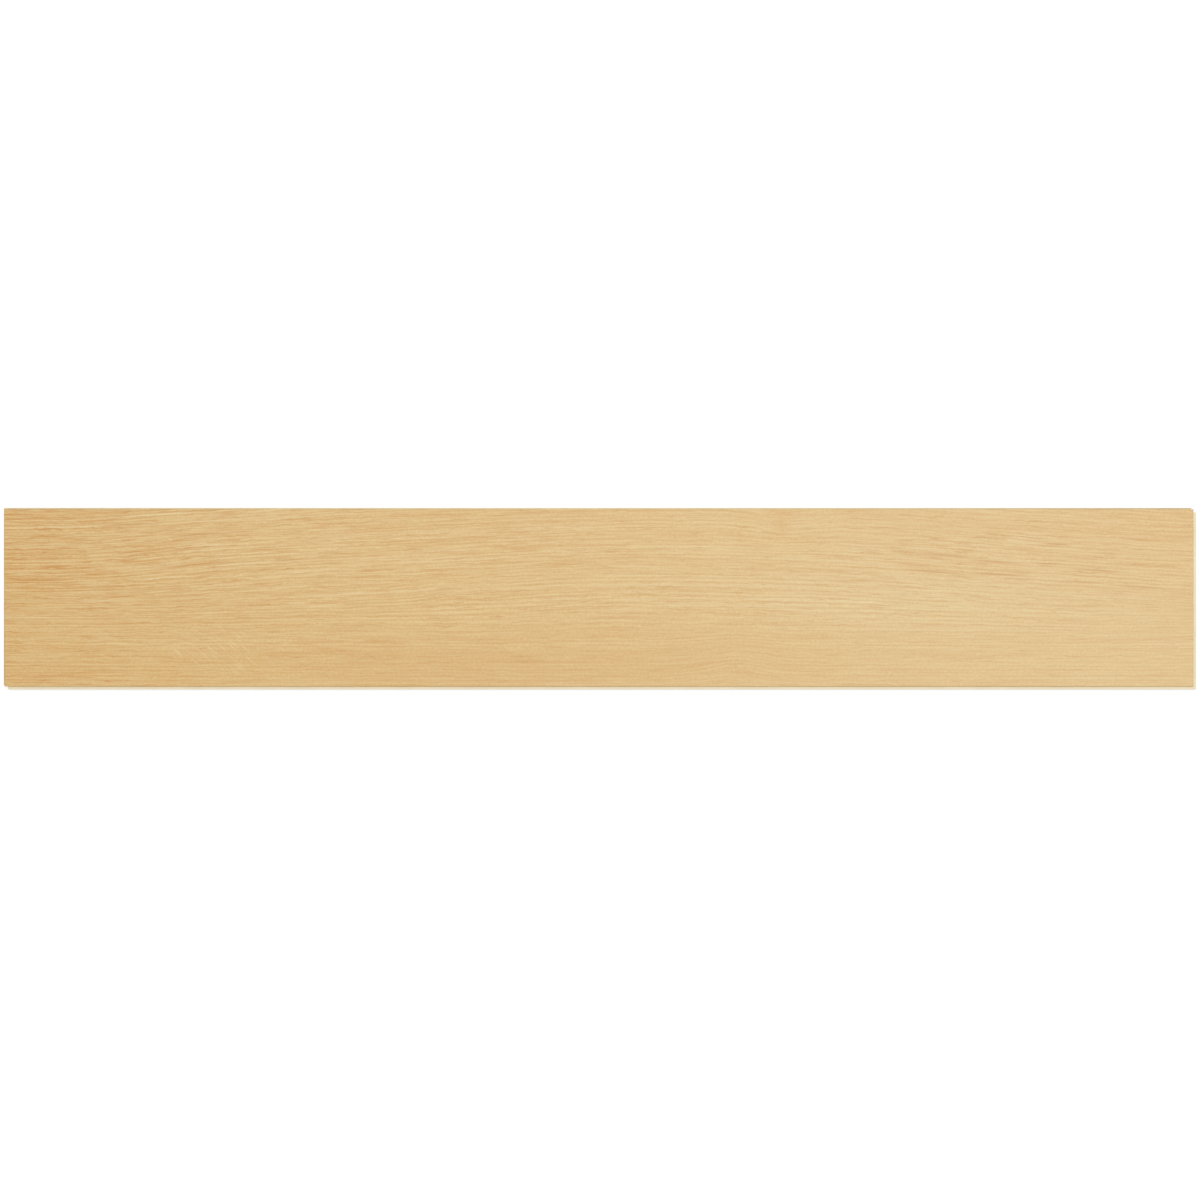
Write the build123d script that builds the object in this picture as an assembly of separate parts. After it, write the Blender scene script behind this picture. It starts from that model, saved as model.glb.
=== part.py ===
"""Wood-effect vinyl floor plank with a click joint milled along all four sides.

Sizes are in millimetres. The plank lies face up: X runs along its length, Y across it, and Z
rises from its underside. The tongue runs along the +X end and the -Y side, and the groove that
takes the next plank's tongue runs along the -X end and the +Y side.
"""

import os
from math import radians, tan

from build123d import *

# Board: the face is measured from joint plane to joint plane, which is the pitch when laid
FACE_LENGTH = 1220.0
FACE_WIDTH = 182.0
THICKNESS = 5.0
FACE_BEVEL = 0.4

# Groove, between an upper lip that carries the face and a longer lower lip
UPPER_LIP = 1.7
LOWER_LIP = 1.0
LIP_REACH = 1.4
GROOVE_RADIUS = 0.6

# Locking bead along the lower lip; its sloping face starts behind the joint plane
BEAD_HEIGHT = 0.75
BEAD_SETBACK = 0.35
BEAD_RADIUS = 0.5
LOCK_ANGLE = 60.0
LOCK_RADIUS = 0.15

# Tongue, with a belly that drops in behind the bead and a nose that lets it tilt in
TONGUE_REACH = 3.1
BELLY_REACH = 1.9
BELLY_RADIUS = 0.6
NOSE_HEIGHT = 1.0
NOSE_RADIUS = 0.5

# Clearances between a tongue and the groove of the next plank
FIT_GAP = 0.05
BEAD_GAP = 0.1
NOSE_GAP = 0.5
LIP_GAP = 0.4

BEAD_TOP = LOWER_LIP + BEAD_HEIGHT
GROOVE_CEILING = THICKNESS - UPPER_LIP
GROOVE_DEPTH = TONGUE_REACH + NOSE_GAP
FACE_EDGE = THICKNESS - FACE_BEVEL
SHARP = 0.0


def lock_setback(height):
    """How far behind the joint plane the bead's locking face lies at a height."""
    return BEAD_SETBACK + (BEAD_TOP - height) / tan(radians(LOCK_ANGLE))


def groove_side():
    """Corners of the groove side from the face down, as (outward, height, radius)."""
    return [
        (-FACE_BEVEL, THICKNESS, SHARP),
        (0, FACE_EDGE, SHARP),
        (0, GROOVE_CEILING, SHARP),
        (-GROOVE_DEPTH, GROOVE_CEILING, GROOVE_RADIUS),
        (-GROOVE_DEPTH, LOWER_LIP, GROOVE_RADIUS),
        (-lock_setback(LOWER_LIP), LOWER_LIP, LOCK_RADIUS),
        (-lock_setback(BEAD_TOP), BEAD_TOP, LOCK_RADIUS),
        (LIP_REACH, BEAD_TOP, BEAD_RADIUS),
        (LIP_REACH, 0, SHARP),
    ]


def tongue_side():
    """Corners of the tongue side from the underside up, as (outward, height, radius)."""
    recess_depth = LIP_REACH + LIP_GAP
    recess_ceiling = BEAD_TOP + BEAD_GAP
    belly = LOWER_LIP + FIT_GAP
    tongue_top = GROOVE_CEILING - FIT_GAP
    return [
        (-recess_depth, 0, SHARP),
        (-recess_depth, recess_ceiling, BEAD_RADIUS),
        (lock_setback(recess_ceiling) + FIT_GAP, recess_ceiling, LOCK_RADIUS),
        (lock_setback(belly) + FIT_GAP, belly, LOCK_RADIUS),
        (BELLY_REACH, belly, BELLY_RADIUS),
        (TONGUE_REACH, tongue_top - NOSE_HEIGHT, NOSE_RADIUS),
        (TONGUE_REACH, tongue_top, NOSE_RADIUS),
        (0, tongue_top, SHARP),
        (0, FACE_EDGE, SHARP),
        (-FACE_BEVEL, THICKNESS, SHARP),
    ]


def cross_section(face_size):
    """The plank cut across, with the groove side to the left and the tongue side to the right."""
    half = face_size / 2
    left = [(-half - outward, height, radius) for outward, height, radius in groove_side()]
    right = [(half + outward, height, radius) for outward, height, radius in tongue_side()]
    corners = left + right
    points = [(across, height) for across, height, radius in corners]
    radii = [radius for across, height, radius in corners]
    return make_face(FilletPolyline(*points, radius=radii, close=True))


def milled_plank():
    """One board milled to the joint along its sides and its ends."""
    reach_beyond = TONGUE_REACH + LIP_REACH
    end_to_end = extrude(
        Plane.XZ * cross_section(FACE_LENGTH), FACE_WIDTH / 2 + reach_beyond, both=True
    )
    side_to_side = extrude(
        Plane.YZ * Rot(Y=180) * cross_section(FACE_WIDTH), FACE_LENGTH / 2 + reach_beyond, both=True
    )
    milled = end_to_end & side_to_side
    # Where a tongue crosses a groove, the cut frees a chip of the bead, which falls away
    return max(milled.solids(), key=lambda solid: solid.volume)


os.makedirs("parts", exist_ok=True)
export_step(milled_plank(), "parts/plank.step")
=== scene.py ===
"""Looks of a vinyl floor plank: click joint all round, face printed and embossed as pale oak.

Sizes are in metres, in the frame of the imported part: X along the plank, Y across it, Z up. One
piece takes the solid's place. It is the solid's own mesh with the flat face and its bevels built
anew around a fine grid, which carries the embossed grain. What the printed grain is drawn from
is stored on the vertices.
"""

from math import pi

import bmesh
import bpy
import numpy as np
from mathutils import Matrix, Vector


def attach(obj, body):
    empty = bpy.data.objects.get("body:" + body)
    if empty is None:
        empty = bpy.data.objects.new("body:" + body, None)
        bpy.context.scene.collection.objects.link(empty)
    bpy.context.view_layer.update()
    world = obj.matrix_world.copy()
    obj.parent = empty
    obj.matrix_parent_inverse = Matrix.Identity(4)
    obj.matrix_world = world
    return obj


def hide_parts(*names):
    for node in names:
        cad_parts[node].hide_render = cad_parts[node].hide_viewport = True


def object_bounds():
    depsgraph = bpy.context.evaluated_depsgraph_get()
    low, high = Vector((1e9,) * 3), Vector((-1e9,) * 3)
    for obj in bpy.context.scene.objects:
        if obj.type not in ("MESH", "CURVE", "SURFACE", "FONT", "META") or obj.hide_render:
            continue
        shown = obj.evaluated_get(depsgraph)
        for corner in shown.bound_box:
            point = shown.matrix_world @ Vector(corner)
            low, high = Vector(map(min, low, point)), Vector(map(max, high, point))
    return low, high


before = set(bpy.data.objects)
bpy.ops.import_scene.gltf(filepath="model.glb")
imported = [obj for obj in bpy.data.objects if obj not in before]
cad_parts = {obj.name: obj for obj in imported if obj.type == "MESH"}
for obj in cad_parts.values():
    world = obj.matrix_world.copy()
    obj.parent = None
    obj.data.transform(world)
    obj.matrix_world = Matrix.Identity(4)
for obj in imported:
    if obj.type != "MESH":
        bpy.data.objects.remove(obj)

cad_low, cad_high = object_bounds()

# Photograph: side of its square frame and the plank's outline in it, in pixels
PHOTO_SIDE = 1200
OUTLINE_LEFT = 3.6
OUTLINE_RIGHT = 1196.0
OUTLINE_TOP = 507.8
OUTLINE_BOTTOM = 689.4

# Camera, light and floor
CAMERA_HEIGHT = 2.5
SENSOR_WIDTH_MM = 36.0
WORLD_LIGHT = 0.68
SOFTBOX_PLACE = Vector((0.9, 2.0, 4.4))
SOFTBOX_SIZE = (4.4, 3.0)
SOFTBOX_RADIANCE = 2.80
FLOOR_COLOUR = 0.36
FLOOR_GLOW = 0.71
FLOOR_SIDE = 6.0
FLOOR_DROP = 0.0001
WHITE = (1.0, 1.0, 1.0, 1.0)

# Face grid, and depth of the embossing, which fades out towards the bevels
COLUMNS = 240
ROWS = 398
LINE_DEPTH = 0.00006
FIBRE_DEPTH = 0.000015
FLAT_MARGIN = 0.0015
# Embossed fibres as (length, width, seed)
FIBRE_RELIEF = (0.03, 0.0012, 31)
# Edges that turn by more than this are shaded sharp
SHARP_EDGE = pi / 6

# Material slots of the piece
PRINT, CORE, BACK = range(3)

# What counts as one point, as level with the face or the floor, and as face or bevel
SAME_POINT = 0.000001
LEVEL = 0.00001
RIM_DROP = 0.001

# Course of the grain: it arches along the upper half and runs straight along the lower one
ARCH_RISE = 0.0165
ARCH_TOP = 0.08
ARCH_LENGTH = 1.36
STRAIGHT_BELOW = -0.050
ARCHED_ABOVE = 0.020
# Share of that course that the broader printed lines follow
SLACK = 0.6
# Slow and quick waves of the grain as (height, length, width, seed)
GRAIN_WAVES = (
    (0.0012, 0.13, 0.03, 5),
    (0.0004, 0.028, 0.008, 6),
)
# Swells and small eddies as (lift, x, y, reach along, reach across)
EDDIES = (
    (0.0060, -0.365, 0.050, 0.130, 0.060),
    (-0.0070, 0.186, 0.078, 0.034, 0.024),
    (0.0100, 0.140, -0.064, 0.040, 0.024),
    (0.0020, -0.150, 0.005, 0.030, 0.012),
)

# How marked the grain is: everywhere, and added in the upper half, at the left and in both, and in
# a streaky patch at the upper right, given as (x, y, reach along, reach across)
PLAIN_CONTRAST = 0.49
UPPER_CONTRAST = 0.14
LEFT_CONTRAST = 0.33
UPPER_LEFT_CONTRAST = 0.18
LEFT_FALL = 3.0
STREAKY_CONTRAST = 0.12
STREAKY_PATCH = (0.44, 0.045, 0.18, 0.04)

# Tone of the print: bands and clouds as (tone, length, width, seed)
TONE_BANDS = (0.18, 0.30, 0.007, 21)
TONE_CLOUDS = (0.15, 0.55, 0.045, 22)
# Pale and dark patches as (tone, x, y, reach along, reach across): both left corners, the upper
# left, the lower side, the right end, the middle and a pin knot
TONE_PATCHES = (
    (-0.20, -0.60, 0.085, 0.09, 0.025),
    (-0.30, -0.60, -0.070, 0.10, 0.030),
    (0.20, -0.36, 0.025, 0.20, 0.050),
    (-0.38, -0.12, -0.065, 0.36, 0.042),
    (-0.34, 0.62, 0.060, 0.12, 0.060),
    (0.22, 0.28, -0.010, 0.20, 0.035),
    (-0.45, 0.187, 0.078, 0.007, 0.014),
)
# Painted sheen over the print, paler towards the right: none at the left end, full from right of the
# middle on
PAINTED_SHEEN = 0.12
PAINTED_SHEEN_START = -0.61
PAINTED_SHEEN_FULL = 0.40

# Noise as (finer layers, strength of each against the one before), and the ranges that one noise,
# its middle part and the sum of two keep to
BARE = (0.0, 0.5)
SMOOTH = (1.0, 0.5)
PLAIN = (2.0, 0.5)
ROUGH = (3.0, 0.6)
STREAKY = (3.0, 0.65)
NOISE_RANGE = (0.25, 0.75)
MIDDLE_RANGE = (0.3, 0.7)
SUM_RANGE = (0.6, 1.4)

# Patch of pale ray flecks as (x, y, reach along, reach across), and their angle to the grain, size,
# range of noise and share of the colour
RAY_PATCH = (-0.385, -0.054, 0.055, 0.020)
RAY_ANGLE = 0.65
RAY_SIZE = (0.020, 0.0012, 0)
RAY_RANGE = (0.62, 0.76)
RAY_SHARE = 0.6

# Embossed lines, in families as (pitch, width, strength, bend, seed), the ranges that vary a line's
# width and spacing, and how strongly the lines are printed as well
LINE_SEED = 11
LINE_FAMILIES = (
    (0.0036, 0.00040, 1.0, 1.0, 41),
    (0.0044, 0.00036, 0.8, 0.6, 43),
)
LINE_WIDTHS = (0.8, 1.25)
LINE_SPACING = (0.8, 1.2)
LINE_PRINT = 0.75
# Course of a line: steps that settle it, how far outside the face it may start, and its wavering
LINE_STEPS = 12
LIFT_REACH = 0.030
LINE_WAVER = 0.0003
LINE_WAVE = 0.018
# Strength along a line: slow and quick changes with their shares, each from a random start, the
# range that their sum fades over and the faintest share; it is cut off some widths to each side
LINE_SLOW = 0.045
LINE_SLOW_SHARE = 0.5
LINE_QUICK = 0.012
LINE_QUICK_SHARE = 0.6
LINE_SHIFT = 9
LINE_FADE = (-0.25, 0.95)
LINE_FAINTEST = 0.25
LINE_CUTOFF = 3
# The most marked streaks as (x, y, length, strength), and their width
MARKED_STREAKS = (
    (-0.595, 0.039, 0.030, 1.1),
    (-0.574, 0.018, 0.083, 1.3),
    (-0.566, 0.063, 0.049, 1.1),
    (-0.558, 0.032, 0.047, 1.1),
    (-0.517, 0.024, 0.036, 1.2),
    (-0.493, 0.001, 0.052, 1.1),
    (-0.489, 0.075, 0.062, 1.0),
    (-0.484, 0.059, 0.023, 1.2),
    (-0.478, 0.047, 0.047, 1.2),
    (-0.416, 0.034, 0.094, 1.1),
    (-0.411, 0.065, 0.066, 1.1),
    (-0.317, 0.039, 0.049, 1.0),
    (0.313, 0.047, 0.040, 1.0),
    (0.340, 0.027, 0.083, 1.1),
    (0.357, 0.044, 0.066, 1.1),
    (0.407, 0.037, 0.064, 1.1),
    (0.408, 0.024, 0.081, 1.1),
    (0.461, 0.035, 0.036, 1.1),
    (0.470, 0.055, 0.034, 1.2),
    (0.497, 0.016, 0.057, 1.0),
    (0.512, 0.028, 0.064, 1.0),
    (0.556, 0.011, 0.083, 1.0),
)
STREAK_WIDTH = 0.00055

# Printed lines: fine ones that bend with the grain, broader ones that bend less, and dashes. Width
# and waver are shares of the pitch, and faint and full the noise at which a line starts and is full
FINE_LINES = {"pitch": 0.0035, "length": 0.065, "width": 0.25, "waver": 0.16, "faint": 0.32, "full": 0.70}
BROAD_LINES = {"pitch": 0.0050, "length": 0.045, "width": 0.20, "waver": 0.20, "faint": 0.32, "full": 0.70}
DASHES = {"pitch": 0.0039, "length": 0.030, "width": 0.20, "waver": 0.20, "faint": 0.49, "full": 0.72}
DASH_SHARE = 1.3
DARKEST_LINE = 0.75
# Waves of these lines, how uneven their spacing is and over how many pitches it changes, and the
# cell of noise from line to line, under 1 so that neighbours differ
COMB_WAVE = (0.015, 0.005, 0)
COMB_UNEVEN = 0.3
COMB_UNEVEN_ROWS = 4
COMB_ROW = 0.37
# Printed bands, fibres and specks as the size of their noise, how far they swing the tone and the
# noise's layers where it isn't plain, and the tone from which the print is darkest or palest
BANDS = ((0.25, 0.0045, 0), 0.36)
FIBRES = ((0.060, 0.0011, 0), 0.60, ROUGH)
SPECKS = ((0.0026, 0.0026, 0), 0.38)
TONE_REACH = 1.2

# Colours as screen values
OAK_DARK = (210, 164, 98)
OAK = (221, 190, 132)
OAK_PALE = (228, 210, 162)
LINE_COLOUR = (191, 127, 49)
RAY_COLOUR = (240, 220, 178)
PAINTED_SHEEN_COLOUR = (229, 221, 191)
CORE_DARK = (227, 209, 171)
CORE_PALE = (239, 225, 191)
BACK_DARK = (176, 168, 152)
BACK_PALE = (200, 192, 176)

# Surface of the printed face, the milled joint and the underside
FACE_ROUGHNESS = (0.46, 0.60)
FACE_BUMP = 0.00003
CORE_MARKS = (0.02, 0.02, 0.0004)
CORE_SPECKS = (0.0008, 0.0008, 0.0008)
CORE_ROUGHNESS = (0.58, 0.68)
CORE_BUMP = 0.00003
BACK_SPECKS = (0.0012, 0.0012, 0.0012)
BACK_CLOUDS = (0.08, 0.08, 0.08)
BACK_ROUGHNESS = (0.78, 0.88)
BACK_BUMP = 0.0001
BUMP_STRENGTH = 0.4


def srgb(red, green, blue):
    """A colour written as screen values from 0 to 255, in linear light with full alpha."""
    parts = np.array([red, green, blue]) / 255
    linear = np.where(parts <= 0.04045, parts / 12.92, ((parts + 0.055) / 1.055) ** 2.4)
    return (*linear.tolist(), 1.0)


def eased(low, high, value):
    """0 below low, 1 above high and a smooth rise between."""
    share = np.clip((value - low) / (high - low), 0, 1)
    return share * share * (3 - 2 * share)


def lattice_noise(along, across, seed):
    """Smooth noise from -1 to 1 with one step of its lattice per unit each way."""
    side = 256
    lattice = np.random.default_rng(seed).uniform(-1, 1, (side, side))
    column = np.floor(along).astype(int)
    row = np.floor(across).astype(int)
    right = eased(0, 1, along - column)
    up = eased(0, 1, across - row)

    def corner(step_along, step_across):
        return lattice[(column + step_along) % side, (row + step_across) % side]

    lower = corner(0, 0) * (1 - right) + corner(1, 0) * right
    upper = corner(0, 1) * (1 - right) + corner(1, 1) * right
    return lower * (1 - up) + upper * up


def hump(x, y, x_middle, y_middle, along, across):
    """A smooth hump, 1 at its middle, with the given reach along and across the plank."""
    return np.exp(-(((x - x_middle) / along) ** 2) - ((y - y_middle) / across) ** 2)


def upper_share(y):
    """1 in the arched upper half of the face and 0 in the straight lower half."""
    return eased(STRAIGHT_BELOW, ARCHED_ABOVE, y)


def grain_lift(x, y):
    """How far the grain line at a point has been carried up from a straight course."""
    lift = ARCH_RISE * np.cos(2 * pi * (x - ARCH_TOP) / ARCH_LENGTH) * upper_share(y)
    for rise, *place in EDDIES:
        lift = lift + rise * hump(x, y, *place)
    for height, length, width, seed in GRAIN_WAVES:
        lift = lift + height * lattice_noise(x / length, y / width, seed)
    return lift


def grain_contrast(x, y):
    """How marked the grain is: most in the upper left, least in the lower right."""
    left = np.clip((cad_high.x - x) / (cad_high.x - cad_low.x), 0, 1) ** LEFT_FALL
    upper = upper_share(y)
    contrast = PLAIN_CONTRAST + UPPER_CONTRAST * upper + STREAKY_CONTRAST * hump(x, y, *STREAKY_PATCH)
    return contrast + (LEFT_CONTRAST + UPPER_LEFT_CONTRAST * upper) * left


def grain_tone(x, y):
    """Broad light and dark parts of the print, about -1 to 1."""
    across = y - grain_lift(x, y)
    tone, length, width, seed = TONE_BANDS
    total = tone * lattice_noise(x / length, across / width, seed) * grain_contrast(x, y)
    tone, length, width, seed = TONE_CLOUDS
    total = total + tone * lattice_noise(x / length, across / width, seed)
    for tone, *place in TONE_PATCHES:
        total = total + tone * hump(x, y, *place)
    return total


def grain_line(xs, level, bend):
    """Course over the columns of the grain line that would lie straight at the given level."""
    line = np.full(len(xs), level)
    for _ in range(LINE_STEPS):
        line = level + bend * grain_lift(xs, line)
    return line


def add_line(field, ys, line, width, strength):
    """Draws a grain line into the field, keeping what is darker there."""
    reach = LINE_CUTOFF * width
    first, last = np.searchsorted(ys, (line.min() - reach, line.max() + reach))
    profile = np.exp(-0.5 * ((ys[first:last, None] - line) / width) ** 2)
    np.maximum(field[first:last], strength * profile, out=field[first:last])


def line_field(xs, ys):
    """How strong the embossed lines are at the grid's points; each fades in and out on its way."""
    field = np.zeros((len(ys), len(xs)))
    rng = np.random.default_rng(LINE_SEED)

    def along_line(length, count, seed):
        return lattice_noise(xs / length + rng.uniform(0, LINE_SHIFT), count, seed)

    for pitch, width, share, bend, seed in LINE_FAMILIES:
        level = ys[0] - LIFT_REACH
        count = 0
        while level < ys[-1] + LIFT_REACH:
            line = grain_line(xs, level, bend)
            line = line + LINE_WAVER * along_line(LINE_WAVE, count, seed + 2)
            slow = LINE_SLOW_SHARE * along_line(LINE_SLOW, count, seed)
            quick = LINE_QUICK_SHARE * along_line(LINE_QUICK, count, seed + 1)
            rise = eased(*LINE_FADE, slow + quick)
            strength = share * (LINE_FAINTEST + (1 - LINE_FAINTEST) * rise)
            line_width = width * rng.uniform(*LINE_WIDTHS)
            add_line(field, ys, line, line_width, strength * grain_contrast(xs, line))
            level += pitch * rng.uniform(*LINE_SPACING)
            count += 1
    for x, y, length, strength in MARKED_STREAKS:
        line = grain_line(xs, y - grain_lift(x, y), 1.0)
        taper = np.clip(1 - (2 * (xs - x) / length) ** 2, 0, 1)
        add_line(field, ys, line, STREAK_WIDTH, strength * taper)
    return field


def lowest(face):
    """Height of a face's lowest corner."""
    return min(vertex.co.z for vertex in face.verts)


def opened_body(node):
    """The solid's mesh without its flat face and bevels, and two opposite corners of the face."""
    body = bmesh.new()
    body.from_mesh(node.data)
    bmesh.ops.remove_doubles(body, verts=body.verts, dist=SAME_POINT)
    top = max(vertex.co.z for vertex in body.verts)
    corners = [vertex.co.copy() for vertex in body.verts if vertex.co.z > top - LEVEL]
    rim_faces = [face for face in body.faces if lowest(face) > top - RIM_DROP]
    bmesh.ops.delete(body, geom=rim_faces, context="FACES")
    # The open rim is four straight edges, which are cut to meet the grid's columns and rows
    for edge in [edge for edge in body.edges if edge.is_boundary]:
        run = edge.verts[0].co - edge.verts[1].co
        pieces = COLUMNS if abs(run.x) > abs(run.y) else ROWS
        bmesh.ops.subdivide_edges(body, edges=[edge], cuts=pieces - 1)
    low = Vector((min(c.x for c in corners), min(c.y for c in corners), top))
    high = Vector((max(c.x for c in corners), max(c.y for c in corners), top))
    return body, low, high


def embossed_heights(x, y, lines, low, high):
    """Heights of the grid's points: lines and fibres are pressed in, and the border stays level."""
    length, width, seed = FIBRE_RELIEF
    fibres = 0.5 + 0.5 * lattice_noise(x / length, (y - grain_lift(x, y)) / width, seed)
    to_end = np.minimum(x - low.x, high.x - x)
    to_side = np.minimum(y - low.y, high.y - y)
    inner = eased(0, FLAT_MARGIN, np.minimum(to_end, to_side))
    return high.z - inner * (LINE_DEPTH * lines + FIBRE_DEPTH * fibres)


def add_face_grid(body, points):
    """Adds the grid of the face to the body and returns its points and faces."""
    grid = [body.verts.new(point) for point in points]
    wide = COLUMNS + 1
    faces = []
    for row in range(ROWS):
        for column in range(COLUMNS):
            at = row * wide + column
            corners = (grid[at], grid[at + 1], grid[at + wide + 1], grid[at + wide])
            faces.append(body.faces.new(corners))
    return grid, faces


def add_bevels(body, rim, grid):
    """Joins the rim of the opened body to the border of the grid with a strip of bevel faces."""
    wide = COLUMNS + 1
    border = grid[:wide]
    border += [grid[row * wide + COLUMNS] for row in range(1, ROWS + 1)]
    border += [grid[ROWS * wide + column] for column in range(COLUMNS - 1, -1, -1)]
    border += [grid[row * wide] for row in range(ROWS - 1, 0, -1)]

    def neighbours(vertex):
        return [edge.other_vert(vertex) for edge in vertex.link_edges if edge.is_boundary]

    start = min(rim, key=lambda vertex: vertex.co.x + vertex.co.y)
    loop = [start, max(neighbours(start), key=lambda vertex: vertex.co.x)]
    while len(loop) < len(border):
        loop.append(next(vertex for vertex in neighbours(loop[-1]) if vertex is not loop[-2]))
    faces = []
    for here in range(len(loop)):
        before = here - 1
        faces.append(body.faces.new((loop[before], loop[here], border[here], border[before])))
    return faces


def plank_mesh(node):
    """The plank with an embossed face, watertight, with the grain stored on its vertices."""
    body, low, high = opened_body(node)
    xs = np.linspace(low.x, high.x, COLUMNS + 1)
    ys = np.linspace(low.y, high.y, ROWS + 1)
    x, y = np.meshgrid(xs, ys)
    lines = line_field(xs, ys)
    z = embossed_heights(x, y, lines, low, high)

    rim = [vertex for vertex in body.verts if vertex.is_boundary]
    grid, printed = add_face_grid(body, np.stack([x, y, z], axis=-1).reshape(-1, 3))
    printed += add_bevels(body, rim, grid)
    body.normal_update()
    for face in body.faces:
        face.smooth = True
        underneath = max(vertex.co.z for vertex in face.verts) < LEVEL
        face.material_index = BACK if underneath else CORE
    for face in printed:
        face.material_index = PRINT

    mesh = bpy.data.meshes.new("vinyl_plank")
    body.to_mesh(mesh)
    body.free()
    mesh.set_sharp_from_angle(angle=SHARP_EDGE)
    store_grain(mesh, lines)
    return mesh


def store_grain(mesh, lines):
    """Stores what the print and its painted sheen are drawn from; the grid's points are the mesh's last
    vertices.
    """
    places = np.empty(len(mesh.vertices) * 3)
    mesh.vertices.foreach_get("co", places)
    x, y, _ = places.reshape(-1, 3).T
    lift = grain_lift(x, y)
    # Painted sheen: the print is lifted towards cream to the right, standing in for reflected light
    painted_sheen = PAINTED_SHEEN * eased(PAINTED_SHEEN_START, PAINTED_SHEEN_FULL, x)
    add_attribute(mesh, "grain_flow", x, y - lift, y - SLACK * lift)
    add_attribute(mesh, "grain_print_and_sheen", grain_tone(x, y), grain_contrast(x, y), painted_sheen)
    lines = np.append(np.zeros(len(x) - lines.size), lines)
    add_attribute(mesh, "grain_marks", lines, hump(x, y, *RAY_PATCH), np.zeros(len(x)))


def add_attribute(mesh, name, *parts):
    """Stores one vector of three parts for each vertex of the mesh."""
    attribute = mesh.attributes.new(name, "FLOAT_VECTOR", "POINT")
    attribute.data.foreach_set("vector", np.stack(parts, axis=-1).astype(np.float32).ravel())


class Shader:
    """A material's nodes, with a short way to add one and wire its inputs."""

    def __init__(self, name):
        self.material = bpy.data.materials.new(name)
        self.material.use_nodes = True
        self.tree = self.material.node_tree
        self.surface = self.tree.nodes["Principled BSDF"]

    def feed(self, node, inputs):
        """Sets a node's inputs to values, or wires them to other nodes."""
        for key, value in inputs.items():
            if isinstance(value, bpy.types.NodeSocket):
                self.tree.links.new(value, node.inputs[key])
            else:
                node.inputs[key].default_value = value

    def add(self, kind, inputs, output=0, **settings):
        """Adds a node and returns one of its outputs."""
        node = self.tree.nodes.new("ShaderNode" + kind)
        for key, value in settings.items():
            setattr(node, key, value)
        self.feed(node, inputs)
        return node.outputs[output]

    def math(self, operation, first, second=0.0):
        """One step of arithmetic."""
        return self.add("Math", {0: first, 1: second}, operation=operation)

    def attribute(self, name):
        """The three parts of a vector stored on the mesh, and the vector itself."""
        vector = self.add("Attribute", {}, "Vector", attribute_name=name)
        parts = self.tree.nodes.new("ShaderNodeSeparateXYZ")
        self.feed(parts, {0: vector})
        return *parts.outputs, vector

    def noise(self, place, size, layers=PLAIN):
        """Noise whose cells have the given size along each axis of the place, with 0 for endless."""
        detail, roughness = layers
        scale = tuple(1 / part if part else 0 for part in size)
        scaled = self.add("VectorMath", {0: place, 1: scale}, operation="MULTIPLY")
        inputs = {"Vector": scaled, "Scale": 1.0, "Detail": detail, "Roughness": roughness}
        return self.add("TexNoise", inputs, "Fac")

    def between(self, value, low, high, to_low=0.0, to_high=1.0):
        """The value's place between low and high, clamped and carried to another range."""
        inputs = {"Value": value, "From Min": low, "From Max": high, "To Min": to_low, "To Max": to_high}
        return self.add("MapRange", inputs)

    def swing(self, place, size, reach, layers=PLAIN):
        """Noise that swings about 0 as far as the reach each way."""
        return self.between(self.noise(place, size, layers), *NOISE_RANGE, -reach, reach)

    def comb(self, along, across, pitch, length, width, waver, faint, full):
        """Fine lines along the grain, about a pitch apart, that waver and fade in and out."""
        place = self.add("CombineXYZ", {0: along, 1: across})
        uneven = self.swing(place, (0, COMB_UNEVEN_ROWS * pitch, 0), COMB_UNEVEN, SMOOTH)
        wave = self.swing(place, COMB_WAVE, waver, SMOOTH)
        count = self.math("ADD", self.math("DIVIDE", across, pitch), self.math("ADD", uneven, wave))
        # A line runs at each whole count, and the ping-pong gives the way to the nearest
        profile = self.between(self.math("PINGPONG", count, 0.5), 0.0, width, 1.0, 0.0)
        row = self.add("CombineXYZ", {0: along, 1: self.math("ROUND", count)})
        strength = self.between(self.noise(row, (length, COMB_ROW, 0), STREAKY), faint, full)
        return self.math("MULTIPLY", profile, strength)

    def mixed(self, share, first, second):
        """The first colour, with the given share of the second."""
        return self.add("Mix", {0: share, 6: first, 7: second}, 2, data_type="RGBA")

    def bump(self, height, distance):
        """The normal of a surface raised by the height times the distance."""
        inputs = {"Strength": BUMP_STRENGTH, "Distance": distance, "Height": height}
        return self.add("Bump", inputs)


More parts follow.
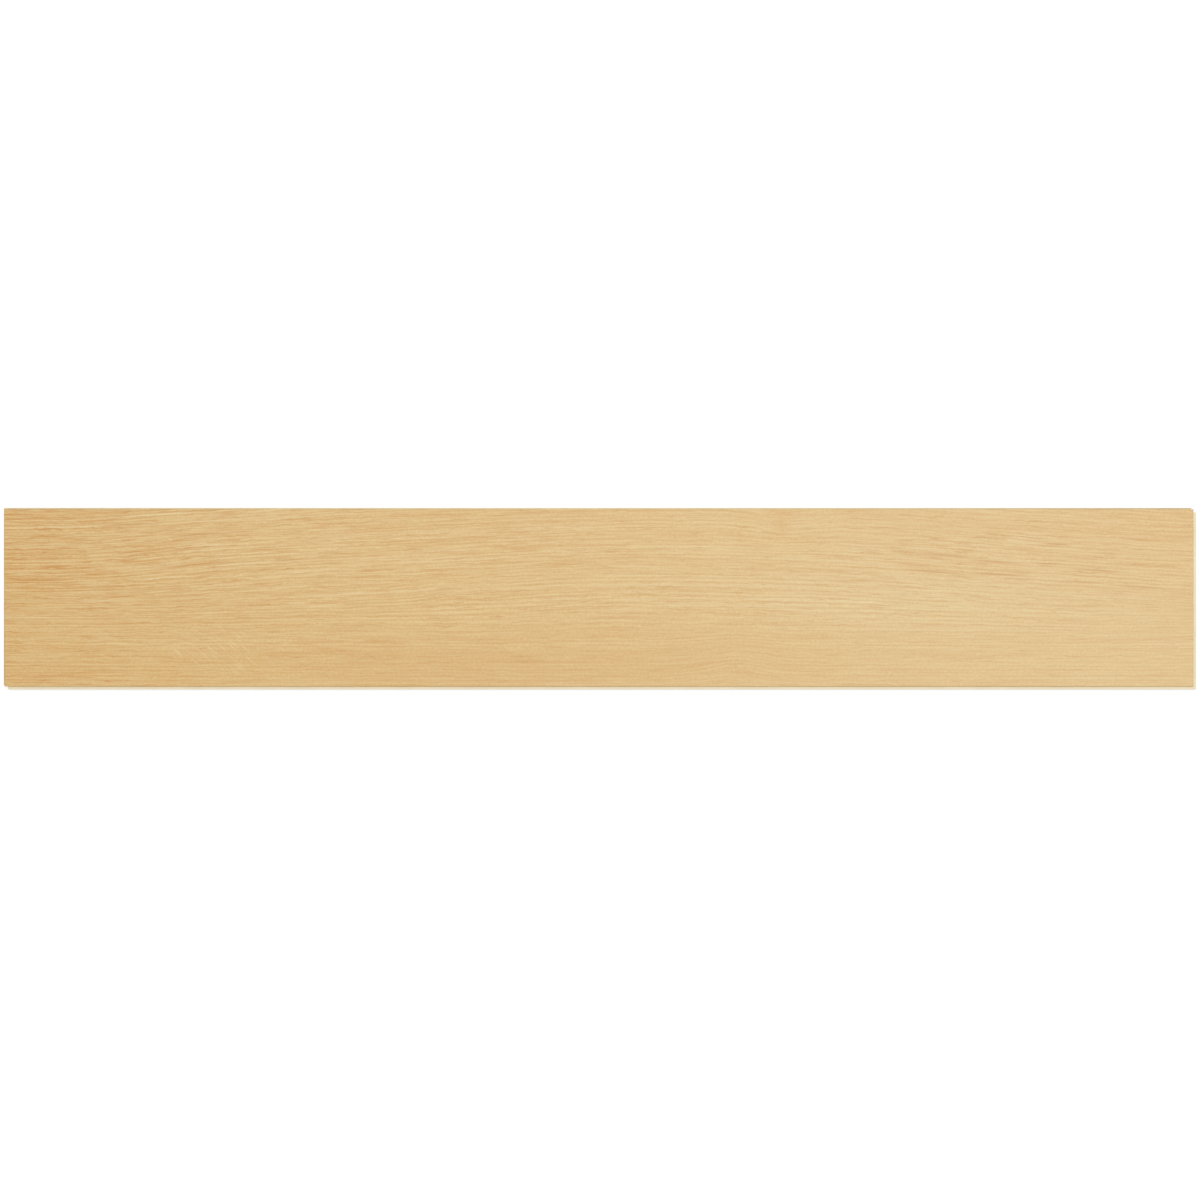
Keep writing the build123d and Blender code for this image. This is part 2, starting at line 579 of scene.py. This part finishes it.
def oak_print():
    """Printed oak under a clear satin wear layer: bands, fibres, lines, ray flecks and a painted sheen to
    the right.
    """
    shader = Shader("oak_print")
    along, bent, slack, flow = shader.attribute("grain_flow")
    tone, contrast, painted_sheen, _ = shader.attribute("grain_print_and_sheen")
    embossed, rays, _, _ = shader.attribute("grain_marks")

    # Flecks cross the grain, and specks keep off its rows
    turned = shader.add("VectorRotate", {"Vector": flow, "Angle": RAY_ANGLE}, rotation_type="Z_AXIS")
    bands = shader.swing(flow, *BANDS)
    fibres = shader.swing(flow, *FIBRES)
    specks = shader.swing(turned, *SPECKS)
    grain = shader.math("MULTIPLY", shader.math("ADD", bands, fibres), contrast)
    shade = shader.math("ADD", tone, shader.math("ADD", grain, specks))
    ramp = shader.tree.nodes.new("ShaderNodeValToRGB")
    shader.feed(ramp, {0: shader.between(shade, -TONE_REACH, TONE_REACH)})
    stops = ramp.color_ramp.elements
    stops[0].color = srgb(*OAK_DARK)
    stops[1].color = srgb(*OAK_PALE)
    stops.new(0.5).color = srgb(*OAK)

    fine = shader.comb(along, bent, **FINE_LINES)
    broad = shader.comb(along, slack, **BROAD_LINES)
    dashes = shader.math("MULTIPLY", shader.comb(along, bent, **DASHES), DASH_SHARE)
    drawn = shader.math("MAXIMUM", shader.math("MAXIMUM", fine, broad), dashes)
    drawn = shader.math("MINIMUM", shader.math("MULTIPLY", drawn, contrast), DARKEST_LINE)
    dark = shader.math("MAXIMUM", drawn, shader.math("MULTIPLY", embossed, LINE_PRINT))
    colour = shader.mixed(dark, ramp.outputs["Color"], srgb(*LINE_COLOUR))
    flecks = shader.between(shader.noise(turned, RAY_SIZE, BARE), *RAY_RANGE, 0.0, RAY_SHARE)
    colour = shader.mixed(shader.math("MULTIPLY", flecks, rays), colour, srgb(*RAY_COLOUR))
    # Painted sheen: cream mixed in towards the right end, standing in for reflected light
    colour = shader.mixed(painted_sheen, colour, srgb(*PAINTED_SHEEN_COLOUR))

    bump = shader.bump(shader.math("SUBTRACT", fibres, drawn), FACE_BUMP)
    roughness = shader.between(dark, 0.0, 1.0, *FACE_ROUGHNESS)
    shader.feed(shader.surface, {"Base Color": colour, "Roughness": roughness, "Normal": bump})
    return shader.material


def milled_core():
    """Cream filled vinyl as the cutters leave it along the joint."""
    shader = Shader("milled_core")
    place = shader.add("TexCoord", {}, "Object")
    marks = shader.noise(place, CORE_MARKS)
    specks = shader.noise(place, CORE_SPECKS)
    grit = shader.math("ADD", marks, specks)
    colour = shader.mixed(shader.between(grit, *SUM_RANGE), srgb(*CORE_DARK), srgb(*CORE_PALE))
    roughness = shader.between(specks, *MIDDLE_RANGE, *CORE_ROUGHNESS)
    bump = shader.bump(grit, CORE_BUMP)
    shader.feed(shader.surface, {"Base Color": colour, "Roughness": roughness, "Normal": bump})
    return shader.material


def backing():
    """Dull, finely speckled underside."""
    shader = Shader("backing")
    place = shader.add("TexCoord", {}, "Object")
    specks = shader.noise(place, BACK_SPECKS, ROUGH)
    clouds = shader.noise(place, BACK_CLOUDS)
    mottle = shader.math("ADD", specks, clouds)
    colour = shader.mixed(shader.between(mottle, *SUM_RANGE), srgb(*BACK_DARK), srgb(*BACK_PALE))
    roughness = shader.between(specks, *MIDDLE_RANGE, *BACK_ROUGHNESS)
    bump = shader.bump(specks, BACK_BUMP)
    shader.feed(shader.surface, {"Base Color": colour, "Roughness": roughness, "Normal": bump})
    return shader.material


def plank():
    """The one piece of the object, in place of the solid."""
    mesh = plank_mesh(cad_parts["plank"])
    # In the order of the slots PRINT, CORE and BACK
    for material in (oak_print(), milled_core(), backing()):
        mesh.materials.append(material)
    piece = bpy.data.objects.new("vinyl_plank", mesh)
    bpy.context.scene.collection.objects.link(piece)
    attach(piece, "root")
    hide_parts("plank")


def floor():
    """Plain white floor with the plank's shadow; its glow shows to the camera and in reflections only."""
    shader = Shader("floor")
    rays = shader.tree.nodes.new("ShaderNodeLightPath").outputs
    mirrored = shader.math("MAXIMUM", rays["Is Glossy Ray"], rays["Is Transmission Ray"])
    seen = shader.math("MAXIMUM", rays["Is Camera Ray"], mirrored)
    grey = (FLOOR_COLOUR, FLOOR_COLOUR, FLOOR_COLOUR, 1.0)
    shader.feed(shader.surface, {"Base Color": grey, "Roughness": 1.0, "Specular IOR Level": 0.0})
    glow = shader.math("MULTIPLY", seen, FLOOR_GLOW)
    shader.feed(shader.surface, {"Emission Color": WHITE, "Emission Strength": glow})
    half = FLOOR_SIDE / 2
    low = cad_low.z - FLOOR_DROP
    mesh = bpy.data.meshes.new("floor")
    corners = [(-half, -half, low), (half, -half, low), (half, half, low), (-half, half, low)]
    mesh.from_pydata(corners, [], [(0, 1, 2, 3)])
    mesh.materials.append(shader.material)
    ground = bpy.data.objects.new("floor", mesh)
    bpy.context.scene.collection.objects.link(ground)


def lights():
    """Even light from all round, and one large soft box above the upper right."""
    world = bpy.data.worlds.new("studio")
    world.use_nodes = True
    bpy.context.scene.world = world
    tree = world.node_tree
    rays = tree.nodes.new("ShaderNodeLightPath").outputs
    level = tree.nodes.new("ShaderNodeMapRange")
    level.inputs["To Min"].default_value = WORLD_LIGHT
    level.inputs["To Max"].default_value = 1.0
    tree.links.new(rays["Is Camera Ray"], level.inputs["Value"])
    background = tree.nodes["Background"]
    background.inputs["Color"].default_value = WHITE
    tree.links.new(level.outputs[0], background.inputs["Strength"])

    lamp = bpy.data.lights.new("softbox", "AREA")
    lamp.shape = "RECTANGLE"
    lamp.size, lamp.size_y = SOFTBOX_SIZE
    lamp.energy = SOFTBOX_RADIANCE * lamp.size * lamp.size_y * pi
    softbox = bpy.data.objects.new("softbox", lamp)
    softbox.location = SOFTBOX_PLACE
    softbox.rotation_euler = SOFTBOX_PLACE.to_track_quat("Z", "Y").to_euler()
    softbox.visible_camera = False
    bpy.context.scene.collection.objects.link(softbox)


def camera():
    """Looks straight down, with the plank's outline where the photograph has it."""
    scale = (cad_high.x - cad_low.x) / (OUTLINE_RIGHT - OUTLINE_LEFT)
    middle = (cad_low + cad_high) / 2
    # Pixels from the plank's middle to the frame's
    right = PHOTO_SIDE / 2 - (OUTLINE_LEFT + OUTLINE_RIGHT) / 2
    down = PHOTO_SIDE / 2 - (OUTLINE_TOP + OUTLINE_BOTTOM) / 2
    data = bpy.data.cameras.new("camera")
    data.sensor_width = SENSOR_WIDTH_MM
    data.lens = SENSOR_WIDTH_MM * (CAMERA_HEIGHT - middle.z) / (PHOTO_SIDE * scale)
    holder = bpy.data.objects.new("camera", data)
    holder.location = (middle.x + right * scale, middle.y - down * scale, CAMERA_HEIGHT)
    bpy.context.scene.collection.objects.link(holder)
    bpy.context.scene.camera = holder


plank()
floor()
lights()
camera()
bpy.context.scene.view_settings.view_transform = "Standard"
